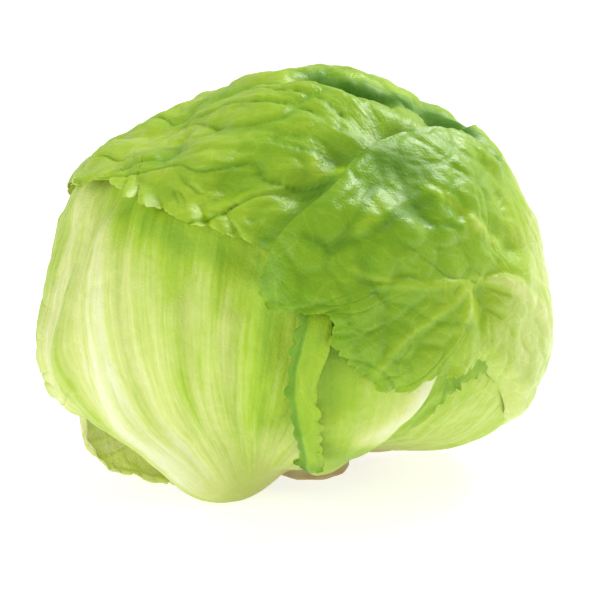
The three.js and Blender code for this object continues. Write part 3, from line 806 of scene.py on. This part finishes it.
def leaf_sheet(leaf, form, heights):
    """A leaf's finished surface. Its inner face stands on the head's form, the pouches up to this leaf,
    the draped height and the lift of its margin, and where it lies open, its relief. The outer face
    adds the blade's thickness, less at the margin, and the midrib."""
    number = LEAVES.index(leaf)
    seed = 100 * (number + 1)
    grid = leaf_grid(leaf, LEAVES[number + 1:], seed)
    across, along = fan(leaf, grid.dirs)
    fan_mm = np.stack([across * FAN_WIDTH, along], axis=-1)
    relief, shade = relief_at(leaf, grid.dirs, fan_mm, seed)
    pleats = margin_pleats(grid, seed)
    near_edge = grid.edge * grid.open_sky * smooth(grid.share, 0.5, 0.85)
    relief = relief + leaf.crumple * (1.6 * pleats - 1.0) * near_edge
    # Darker tone in the pleats' creases: painted shade.
    shade = shade + 0.1 * leaf.crumple * (0.7 - pleats) * near_edge
    base = form.radius(grid.dirs) + bumps(grid.dirs, pouches(LEAVES[:number + 1]))
    base = base + draped_height(grid, heights[leaf.name]) + margin_lift(leaf, grid)
    base = base + not_below(relief, LEAST_RELIEF) * grid.open_sky
    rib, aside = rib_at(leaf, grid.bearing, grid.arc)
    thick = form.leaf_thickness * (1 - 0.45 * smooth(grid.share, 0.9, 1.0))
    curl = margin_curl(leaf, grid)
    outer = form.middle + grid.dirs * (base + thick + leaf.rib * rib)[..., None] + curl
    inner = form.middle + grid.dirs * base[..., None] + curl
    outer = settle(form, outer, FLOOR_GAP)
    inner = settle(form, inner, FLOOR_GAP + 0.5 * form.leaf_thickness)
    tone = leaf_tone(leaf, grid, along, aside, shade)
    return Sheet(outer, inner, tone, low_brown_at(outer, form), fan_mm * MM)


def ribbon_grid(half_steps=24, steps=190):
    """Parameters of the ribbon: across from -1 to 1 and along from 0 to 1, as two grids."""
    across = np.linspace(-1, 1, 2 * half_steps + 1)
    along = np.linspace(0, 1, steps)
    return np.meshgrid(across, along, indexing="xy")


def ribbon_directions(across, along):
    """Directions on the ribbon. Its middle line goes through the path, wavering a little. Its width swells
    and shrinks along it and tapers at the foot, and nicks between round teeth cut both its sides."""
    path = np.array(RIBBON_PATH)
    knots = np.linspace(0, 1, len(path))
    azimuth, latitude = (np.interp(along, knots, column) for column in path.T)
    run = along * (RIBBON_PATH[0][1] - RIBBON_PATH[-1][1]) * DEGREE_MM
    azimuth = azimuth + 0.5 * row_noise(run, 9, 903)
    wave, size = lobe_waves(run, 4.8, 901)
    right_wave, right_size = lobe_waves(run + 2, 5.0, 902)
    nicks = 1 - size * wave**0.6
    right_nicks = (1 - right_size * right_wave**0.6) * smooth(along, 0.25, 0.55)
    cut = np.where(across < 0, 0.8 * nicks, 0.7 * right_nicks)
    width = RIBBON_HALF_WIDTH * (0.85 + 0.15 * np.sin(3 * np.pi * along) ** 2) * (1 - cut * across**4)
    width = width * (1 - 0.6 * smooth(along, 0.93, 1.05))
    return direction(azimuth + width * across / np.cos(np.radians(latitude)), latitude)


def ribbon_places(laid, form):
    """Coarse places of the ribbon's outer face, for the leaves that lie over it."""
    dirs = ribbon_directions(*ribbon_grid(3, 30)).reshape(-1, 3)
    return dirs, draped(dirs, laid, form) + form.leaf_thickness


def ribbon_sheet(form, laid_under):
    """The ribbon's surface: a shallow roof whose ridge runs left of its middle, lifted off the leaves
    under it, its sides wavering. The left slope is darker in tone, painted shade on the side that faces
    away from the light; the foot is darker in tone, and the very margins paler."""
    across, along = ribbon_grid()
    dirs = ribbon_directions(across, along)
    low = draped(dirs.reshape(-1, 3), laid_under, form).reshape(across.shape)
    run = along * 36.0
    roof = np.where(across < -0.2, (across + 1) / 0.8, 1 - 0.3 * (across + 0.2) / 1.2)
    waver = 0.6 * np.sin(2 * np.pi * run / 9.0 + 2.5 * across) * across**2
    lift = (0.5 + 2.0 * roof + waver) * smooth(along, -0.02, 0.12)
    streak = noise(np.stack([across * 3, run / 4], axis=-1), 911)
    swells = bumps(dirs, pouches(LEAVES[:LEAVES_UNDER_RIBBON]))
    base = form.radius(dirs) + swells + low + lift + 0.25 * streak
    outer = form.middle + dirs * (base + form.leaf_thickness)[..., None]
    inner = form.middle + dirs * base[..., None]
    # Darker on the left slope: painted shade. Darker towards the foot, paler at the very margins.
    tone = 0.58 + 0.26 * smooth(-across, 0.15, 0.4) + 0.05 * streak - 0.08 * smooth(np.abs(across), 0.93, 1)
    tone = tone + 0.18 * smooth(along, 0.75, 1.0)
    uv = np.stack([across * 5, run], axis=-1) * MM
    return Sheet(outer, inner, tone, low_brown_at(outer, form), uv)


# Stem and heart


def stem_rows(form):
    """Rings of the stalk from inside the cut face, up its side, to inside its top. The side's radius is a
    little less than the stem's, uneven round it, and drawn in by a quarter round at the cut rim."""
    around = 120
    turn = np.arange(around) * 2 * np.pi / around
    lift = np.linspace(0, 1, 36)[:, None]
    ring = np.stack([np.cos(turn), np.sin(turn)], axis=-1)
    uneven = 0.45 * fractal(ring * 2.2 + 40, 61, 3)[None, :] + 0.3 * np.sin(9 * turn + 2 * lift)
    below = 1 - np.clip(lift * form.stem_top / 1.4, 0, 1)
    rim = 1.2 * (1 - np.sqrt(np.clip(1 - below**2, 0, 1)))
    side = (form.stem_radius - 0.75 + uneven - rim)[..., None] * ring
    wall = np.concatenate([side, 0 * side[..., :1] + lift[..., None] * form.stem_top], axis=-1)
    inset = np.linspace(1, 0, 14)[1:-1, None, None] * (1.0, 1.0, 0.0) + (0.0, 0.0, 1.0)
    return np.concatenate([(wall[0] * inset)[::-1], wall, wall[-1] * inset])


def heart_rows(form):
    """Rings of the heart from its underside to its crown, with their tones and the places across and along
    their veins. The radius is the form's, less the heart's depth, with five overlapping caps as low
    steps and ribs."""
    around, up = 160, 84
    latitude = np.linspace(-90, 90, up + 1)[1:-1, None]
    azimuth = np.arange(around)[None, :] * 360.0 / around
    dirs = direction(azimuth + 0 * latitude, latitude + 0 * azimuth)
    step, tone = np.zeros(dirs.shape[:-1]), np.full(dirs.shape[:-1], HEART_TONE)
    for k in range(5):
        off = apart(dirs, 137.5 * k, 30)
        inside = 1 - smooth(off, 58, 62)
        step = np.maximum(step, 0.5 * k * inside)
        tone = tone + 0.06 * inside * (off / 60)
    across, along = azimuth + 0 * latitude, (90 + latitude) * DEGREE_MM + 0 * azimuth
    streak = noise(np.stack([across / 4, along / 60], axis=-1), 71)
    radius = form.radius(dirs) - form.heart_depth - HEART_GAP + step + 0.3 * streak
    return form.middle + dirs * radius[..., None], tone + 0.08 * streak, np.stack([across, along], axis=-1)


# Meshes


def grid_faces(rows, columns, closed):
    """Four-sided faces of a grid of points numbered along its rows, round if closed."""
    i, j = np.meshgrid(np.arange(rows - 1), np.arange(columns if closed else columns - 1), indexing="ij")
    after = (j + 1) % columns
    return np.stack([i * columns + j, i * columns + after, (i + 1) * columns + after, (i + 1) * columns + j],
                    axis=-1).reshape(-1, 4)


def loop_wall(ring, count):
    """Faces of the wall between a ring of outer points and the same ring of the inner face."""
    after = np.roll(ring, -1)
    return np.stack([ring, after, after + count, ring + count], axis=-1)


def capped(rows, ends):
    """Points and faces of a row of rings, closed by a fan round a point at either end."""
    around = rows.shape[1]
    first = np.arange(around)
    count = len(rows) * around
    last = first + count - around
    fans = [np.stack([np.full(around, count), np.roll(first, -1), first], axis=-1),
            np.stack([np.full(around, count + 1), last, np.roll(last, -1)], axis=-1)]
    return np.concatenate([rows.reshape(-1, 3), ends]), [grid_faces(len(rows), around, True), *fans]


def put_mesh(name, points, faces, material, values=None, uv=None):
    """Makes a smooth mesh object from points in millimetres and a list of arrays of faces."""
    mesh = bpy.data.meshes.new(name)
    loops = np.concatenate([f.ravel() for f in faces]).astype(np.int32)
    sizes = np.concatenate([np.full(len(f), f.shape[1]) for f in faces])
    mesh.vertices.add(len(points))
    mesh.vertices.foreach_set("co", (points * MM).astype(np.float32).ravel())
    mesh.loops.add(len(loops))
    mesh.loops.foreach_set("vertex_index", loops)
    mesh.polygons.add(len(sizes))
    mesh.polygons.foreach_set("loop_start", np.concatenate([[0], np.cumsum(sizes)[:-1]]).astype(np.int32))
    for label, row in (values or {}).items():
        attribute = mesh.attributes.new(label, "FLOAT", "POINT")
        attribute.data.foreach_set("value", row.astype(np.float32).ravel())
    if uv is not None:
        mesh.uv_layers.new(name="veins").data.foreach_set("uv", uv[loops].astype(np.float32).ravel())
    mesh.update(calc_edges=True)
    if mesh.validate():
        raise RuntimeError(f"{name} has faces that don't fit together")
    mesh.shade_smooth()
    mesh.set_sharp_from_angle(angle=math.radians(70))
    mesh.materials.append(material)
    obj = bpy.data.objects.new(name, mesh)
    bpy.context.scene.collection.objects.link(obj)
    return obj


def put_sheet(name, sheet, closed, material):
    """Makes a sheet's closed mesh. A closed sheet's first row is one point, the leaf's middle."""
    rows, columns = sheet.green.shape
    count = rows * columns
    faces = grid_faces(rows, columns, closed)
    if closed:
        rim = np.arange((rows - 1) * columns, count)
        walls = loop_wall(rim, count)[:, ::-1]
        faces = faces[columns:]
        middle = np.zeros(columns, int)
        ring = np.arange(columns, 2 * columns)
        caps = [np.stack([middle, np.roll(ring, -1), ring], axis=-1)]
        caps.append(caps[0][:, ::-1] + count)
    else:
        rim = np.concatenate([np.arange(columns), np.arange(1, rows) * columns + columns - 1,
                              np.arange(columns - 2, -1, -1) + (rows - 1) * columns,
                              np.arange(rows - 2, 0, -1) * columns])
        walls = loop_wall(rim, count)
        caps = []
    points = np.concatenate([sheet.outer.reshape(-1, 3), sheet.inner.reshape(-1, 3)])
    outside = faces if closed else faces[:, ::-1]
    all_faces = [outside, outside[:, ::-1] + count, walls, *caps]
    green, bruise = sheet.green.ravel(), sheet.bruise.ravel()
    twice = {"green": np.concatenate([green, green - INNER_PALER]), "bruise": np.tile(bruise, 2)}
    uv = np.tile(sheet.uv.reshape(-1, 2), (2, 1))
    if closed:
        points, all_faces, twice, uv = drop_spares(points, all_faces, twice, uv)
    return put_mesh(name, points, all_faces, material, twice, uv)


def drop_spares(points, faces, values, uv):
    """Removes points that no face uses, such as the copies of a leaf's middle."""
    used = np.unique(np.concatenate([f.ravel() for f in faces]))
    number = np.zeros(len(points), int)
    number[used] = np.arange(len(used))
    return points[used], [number[f] for f in faces], {k: v[used] for k, v in values.items()}, uv[used]


# Materials


class Value:
    """A number at a node's output. Arithmetic on it adds Math nodes."""

    def __init__(self, nodes, socket):
        self.nodes, self.socket = nodes, socket

    def _math(self, operation, first, second):
        node = self.nodes.add("ShaderNodeMath", {"operation": operation}, {0: first, 1: second})
        return Value(self.nodes, node.outputs[0])

    def __add__(self, other):
        return self._math("ADD", self, other)

    def __sub__(self, other):
        return self._math("SUBTRACT", self, other)

    def __rsub__(self, other):
        return self._math("SUBTRACT", other, self)

    def __mul__(self, other):
        return self._math("MULTIPLY", self, other)

    __radd__ = __add__
    __rmul__ = __mul__


class Nodes:
    """The node tree of a new material with a Principled shader."""

    def __init__(self, name):
        self.material = bpy.data.materials.new(name)
        self.material.use_nodes = True
        self.tree = self.material.node_tree
        self.shader = self.tree.nodes["Principled BSDF"]

    def add(self, kind, settings=None, inputs=None):
        """Adds a node, sets its settings, then the values or links of its sockets."""
        node = self.tree.nodes.new(kind)
        for name, value in (settings or {}).items():
            if name == "stops":
                self._stops(node.color_ramp, value)
            else:
                setattr(node, name, value)
        self.feed(node, inputs or {})
        return node

    def feed(self, node, inputs):
        """Sets or links a node's sockets."""
        for name, value in inputs.items():
            if isinstance(value, (Value, bpy.types.NodeSocket)):
                source = value.socket if isinstance(value, Value) else value
                self.tree.links.new(source, node.inputs[name])
            else:
                node.inputs[name].default_value = value

    @staticmethod
    def _stops(ramp, stops):
        while len(ramp.elements) < len(stops):
            ramp.elements.new(1.0)
        for element, (place, shade) in zip(ramp.elements, stops):
            element.position = place
            element.color = (*shade, 1.0)

    def number(self, node, output=0):
        """A node's output as a value to calculate with."""
        return Value(self, node.outputs[output])

    def attribute(self, name):
        """A number that the mesh holds for each point."""
        return self.number(self.add("ShaderNodeAttribute", {"attribute_name": name}), "Fac")

    def mottle(self, place, scale, detail=3.0):
        """Noise about 0, from -0.5 to 0.5."""
        node = self.add("ShaderNodeTexNoise", {}, {"Vector": place, "Scale": scale, "Detail": detail})
        return self.number(node, "Fac") - 0.5

    def fade(self, value, low, high, first, last):
        """Value mapped from low..high to first..last and held at the ends."""
        node = self.add("ShaderNodeMapRange", {"clamp": True},
                        {"Value": value, "From Min": low, "From Max": high, "To Min": first, "To Max": last})
        return self.number(node)

    def mix(self, factor, first, second):
        """Mix of two colours."""
        node = self.add("ShaderNodeMix", {"data_type": "RGBA"}, {"Factor": factor, 6: first, 7: second})
        return node.outputs[2]

    def stretched(self, place, scale):
        """A place with its axes scaled."""
        return self.add("ShaderNodeMapping", {}, {"Vector": place, "Scale": scale}).outputs[0]

    def wall_distance(self, place, scale):
        """Distance to the nearest wall in a flat patchwork of cells."""
        node = self.add("ShaderNodeTexVoronoi", {"feature": "DISTANCE_TO_EDGE", "voronoi_dimensions": "2D"},
                        {"Vector": place, "Scale": scale})
        return self.number(node, "Distance")

    def bump(self, height, distance):
        """Normals bumped by a height."""
        node = self.add("ShaderNodeBump", {}, {"Strength": 0.5, "Distance": distance, "Height": height})
        return node.outputs["Normal"]


def leaf_material(name, colours, gloss, streak, netting, glow=0.12):
    """Waxy leaf: cream to deep green by the leaf's tone, with fine streaks and branching veinlets along
    its veins, mottling, browning at the foot, and a bump of veinlets and fine grain."""
    nodes = Nodes(name)
    place = nodes.add("ShaderNodeTexCoord").outputs["Object"]
    veins_map = nodes.add("ShaderNodeUVMap", {"uv_map": "veins"}).outputs["UV"]
    tone, bruise = nodes.attribute("green"), nodes.attribute("bruise")
    broad, blotch, fine, grain = (nodes.mottle(place, scale) for scale in (55.0, 170.0, 420.0, 1300.0))
    along = nodes.number(nodes.add("ShaderNodeSeparateXYZ", {}, {0: veins_map}), "Y")
    drawn = nodes.stretched(veins_map, (1.0, 0.05, 1.0))
    streaks = nodes.mottle(drawn, 380.0, 2.0) + nodes.mottle(drawn, 1100.0, 1.0) * 0.6
    streaks = streaks * nodes.fade(along, 0.008, 0.035, 0.0, 1.0)
    sway = nodes.add("ShaderNodeTexNoise", {}, {"Vector": place, "Scale": 90.0, "Detail": 2.0})
    shift = nodes.add("ShaderNodeVectorMath", {"operation": "SCALE"},
                      {0: sway.outputs["Color"], "Scale": 0.007}).outputs[0]
    bent = nodes.add("ShaderNodeVectorMath", {"operation": "ADD"}, {0: veins_map, 1: shift}).outputs[0]
    long_cells = nodes.stretched(bent, (1.0, 0.42, 1.0))
    wall = nodes.wall_distance(long_cells, 165.0)
    veinlet = nodes.fade(wall, 0.0, 0.05, 1.0, 0.0)
    puff = nodes.fade(wall, 0.0, 0.32, 0.0, 1.0)
    small_veinlet = nodes.fade(nodes.wall_distance(long_cells, 430.0), 0.0, 0.1, 1.0, 0.0)

    depth = (tone + broad * 0.12 + blotch * (1.1 * netting) + fine * 0.07 + streaks * (2.4 * streak)
             - veinlet * netting - small_veinlet * (0.4 * netting))
    stops = [(0.0, tuple(colours.cream)), (0.26, tuple(colours.pale)), (0.5, tuple(colours.light)),
             (0.74, tuple(colours.fresh)), (1.0, tuple(colours.deep))]
    ramp = nodes.add("ShaderNodeValToRGB", {"stops": stops}, {"Fac": depth})
    browned = nodes.mix(bruise * (0.75 + broad * 0.9), ramp.outputs["Color"], (*colours.bruise, 1.0))
    height = (fine * 0.5 + puff * (6.0 * netting) + veinlet * (1.6 * netting)
              - small_veinlet * (1.2 * netting) + blotch * (5.0 * netting) + streaks * (3.0 * streak)
              + grain * 0.5)
    nodes.feed(nodes.shader, {
        "Base Color": browned,
        "Roughness": gloss + fine * 0.3 + broad * 0.15 + nodes.fade(tone, 0.8, 1.05, 0.0, 0.6),
        "Normal": nodes.bump(height, 0.0007),
        "Specular IOR Level": 0.32,
        "Subsurface Weight": glow,
        "Subsurface Radius": (0.004, 0.006, 0.0015),
        "Subsurface Scale": 0.6,
    })
    return nodes.material


def stem_material(colours):
    """Cut stem: pale flesh, browned in rings and along the rim, with fibres down its side."""
    nodes = Nodes("cut_stem")
    place = nodes.add("ShaderNodeTexCoord").outputs["Object"]
    fibre = nodes.mottle(nodes.stretched(place, (1.0, 1.0, 0.2)), 500.0)
    broad = nodes.mottle(place, 140.0, 4.0)
    bruise = nodes.attribute("bruise")
    amount = nodes.fade(bruise + broad * 1.1 + fibre * 0.3, 0.1, 0.95, 0.0, 0.9)
    shade = nodes.mix(amount, (*colours.flesh, 1.0), (*colours.bruise, 1.0))
    nodes.feed(nodes.shader, {
        "Base Color": shade,
        "Roughness": 0.6 + fibre * 0.2,
        "Normal": nodes.bump(fibre + broad, 0.0008),
        "Subsurface Weight": 0.08,
        "Subsurface Radius": (0.004, 0.003, 0.002),
        "Subsurface Scale": 0.5,
    })
    return nodes.material


# Pieces


def dress(obj, slot, *nodes):
    """Puts a piece in the part: it rides on the root and stands for its solids."""
    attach(obj, "root")
    if nodes:
        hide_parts(*nodes)


def scene_settings(context):
    """The head's form and the colours."""
    scene = context.scene
    return Form.of(scene.lettuce_head), scene.lettuce_colours


def build_leaves(context, names):
    """Makes the named leaves."""
    form, colours = scene_settings(context)
    heights, _ = lay_leaves(form)
    for leaf in (each for each in LEAVES if each.name in names):
        gloss = GREEN_ROUGHNESS if leaf.slot == "green_leaf" else PALE_ROUGHNESS
        material = leaf_material(leaf.name + "_finish", colours, gloss, leaf.streak, leaf.net, leaf.glow)
        sheet = leaf_sheet(leaf, form, heights)
        dress(put_sheet(leaf.name + "_blade", sheet, True, material), leaf.slot, leaf.name)


class LETTUCE_OT_stem(bpy.types.Operator):
    """Make the cut stem: a short stalk, uneven round its side, with a rounded rim and a flat face"""
    bl_idname = "lettuce.stem"
    bl_label = "Stem"

    def execute(self, context):
        form, colours = scene_settings(context)
        points, faces = capped(stem_rows(form), [[0, 0, 0], [0, 0, form.stem_top]])
        reach = np.hypot(points[:, 0], points[:, 1]) / form.stem_radius
        cut_face = 0.35 + 0.5 * smooth(reach, 0.7, 1.0)
        bruise = np.where(points[:, 2] < 0.2, cut_face, 0.75 * bell(points[:, 2], 4))
        obj = put_mesh("stem_stalk", points, faces, stem_material(colours), {"bruise": bruise})
        dress(obj, "stem", "stem")
        return {"FINISHED"}


class LETTUCE_OT_heart(bpy.types.Operator):
    """Make the heart: a ball of tightly folded leaves, each a low step over the one before, with ribbed
    faces"""
    bl_idname = "lettuce.heart"
    bl_label = "Heart"

    def execute(self, context):
        form, colours = scene_settings(context)
        rows, tone, places = heart_rows(form)
        poles = np.array([[0, 0, -1.0], [0, 0, 1.0]])
        radius = form.radius(poles + (1e-4, 0, 0)) - form.heart_depth - HEART_GAP
        points, faces = capped(rows, form.middle + poles * radius[:, None])
        points[:, 2] = np.maximum(points[:, 2], form.stem_top + 0.3)
        green = np.concatenate([tone.ravel(), [HEART_TONE, HEART_TONE]])
        uv = np.concatenate([places.reshape(-1, 2), np.zeros((2, 2))]) * MM
        material = leaf_material("heart_finish", colours, PALE_ROUGHNESS, 0.12, 0.03)
        values = {"green": green, "bruise": low_brown_at(points, form)}
        obj = put_mesh("heart_ball", points, faces, material, values, uv)
        dress(obj, "heart", "heart")
        return {"FINISHED"}


class LETTUCE_OT_inner_leaves(bpy.types.Operator):
    """Make the leaves that lie round the heart at the back, the sides and the lower right"""
    bl_idname = "lettuce.inner_leaves"
    bl_label = "Inner leaves"

    def execute(self, context):
        build_leaves(context, ("back_leaf", "back_right_leaf", "back_left_leaf", "left_leaf", "right_leaf",
                               "inner_front_leaf"))
        return {"FINISHED"}


class LETTUCE_OT_front_leaves(bpy.types.Operator):
    """Make the pale wrapper with its pouch, the front leaf and the toothed ribbon of its margin"""
    bl_idname = "lettuce.front_leaves"
    bl_label = "Front leaves"

    def execute(self, context):
        build_leaves(context, ("front_left_leaf", "front_leaf"))
        form, colours = scene_settings(context)
        _, laid = lay_leaves(form)
        material = leaf_material("front_leaf_ribbon_finish", colours, 0.45, 0.04, 0.05)
        sheet = ribbon_sheet(form, laid[:LEAVES_UNDER_RIBBON])
        dress(put_sheet("front_leaf_ribbon", sheet, False, material), "green_leaf")
        return {"FINISHED"}


class LETTUCE_OT_crown_leaves(bpy.types.Operator):
    """Make the frilled cap and the big toothed leaf over it"""
    bl_idname = "lettuce.crown_leaves"
    bl_label = "Crown leaves"

    def execute(self, context):
        build_leaves(context, ("crown_leaf", "right_crown_leaf"))
        return {"FINISHED"}


def aimed(place, target):
    """Matrix of a lamp or a camera at a place that looks at a target."""
    return Matrix.Translation(place) @ (target - place).to_track_quat("-Z", "Y").to_matrix().to_4x4()


class LETTUCE_OT_stage(bpy.types.Operator):
    """Make the pale floor, the soft light and the camera"""
    bl_idname = "lettuce.stage"
    bl_label = "Stage"

    def execute(self, context):
        scene = context.scene
        stage = scene.lettuce_stage
        middle = Vector(Form.of(scene.lettuce_head).middle * MM)
        self.floor()
        for name, width, place in LAMPS:
            light = bpy.data.lights.new(name + "_light", "AREA")
            light.energy, light.size = getattr(stage, name), width
            lamp = bpy.data.objects.new(light.name, light)
            lamp.matrix_world = aimed(Vector(place), middle)
            scene.collection.objects.link(lamp)
        scene.world = bpy.data.worlds.new("white_room")
        scene.world.use_nodes = True
        room = scene.world.node_tree.nodes["Background"]
        room.inputs["Color"].default_value = (1, 1, 1, 1)
        room.inputs["Strength"].default_value = stage.sky
        camera = bpy.data.objects.new("camera", bpy.data.cameras.new("camera"))
        camera.data.lens = stage.lens
        camera.data.shift_x, camera.data.shift_y = FRAME_SHIFT
        back = Vector((0, -math.cos(stage.elevation), math.sin(stage.elevation)))
        camera.matrix_world = aimed(middle + back * stage.distance, middle)
        scene.collection.objects.link(camera)
        scene.camera = camera
        scene.view_settings.view_transform = "Standard"
        return {"FINISHED"}

    @staticmethod
    def floor():
        """A square of pale floor that glows a little."""
        ends = np.array([[-1, -1, 0], [1, -1, 0], [1, 1, 0], [-1, 1, 0]]) * FLOOR_HALF_WIDTH
        nodes = Nodes("pale_floor")
        nodes.feed(nodes.shader, {"Base Color": (0.6, 0.6, 0.6, 1.0), "Roughness": 0.9,
                                  "Emission Color": (1.0, 1.0, 1.0, 1.0), "Emission Strength": 0.72})
        floor = put_mesh("floor", ends, [np.array([[0, 1, 2, 3]])], nodes.material)


class LETTUCE_PT_panel(bpy.types.Panel):
    """Sizes, colours and steps of the lettuce"""
    bl_idname = "LETTUCE_PT_panel"
    bl_label = "Lettuce"
    bl_space_type = "VIEW_3D"
    bl_region_type = "UI"
    bl_category = "Lettuce"

    def draw(self, context):
        for group in (getattr(context.scene, name) for name in GROUPS):
            box = self.layout.box()
            for name in group.__annotations__:
                box.prop(group, name)
        for step in STEPS:
            self.layout.operator(step.bl_idname)


STEPS = (LETTUCE_OT_stem, LETTUCE_OT_heart, LETTUCE_OT_inner_leaves, LETTUCE_OT_front_leaves,
         LETTUCE_OT_crown_leaves, LETTUCE_OT_stage)
GROUPS = {"lettuce_head": HeadSettings, "lettuce_colours": ColourSettings, "lettuce_stage": StageSettings}


def register():
    for each in (*GROUPS.values(), *STEPS, LETTUCE_PT_panel):
        bpy.utils.register_class(each)
    for name, group in GROUPS.items():
        setattr(bpy.types.Scene, name, bpy.props.PointerProperty(type=group))


def unregister():
    for name in GROUPS:
        delattr(bpy.types.Scene, name)
    for each in reversed((*GROUPS.values(), *STEPS, LETTUCE_PT_panel)):
        bpy.utils.unregister_class(each)


def main():
    """Registers the add-on and runs its steps in order."""
    register()
    for step in STEPS:
        group, name = step.bl_idname.split(".")
        getattr(getattr(bpy.ops, group), name)()


if __name__ == "__main__":
    main()
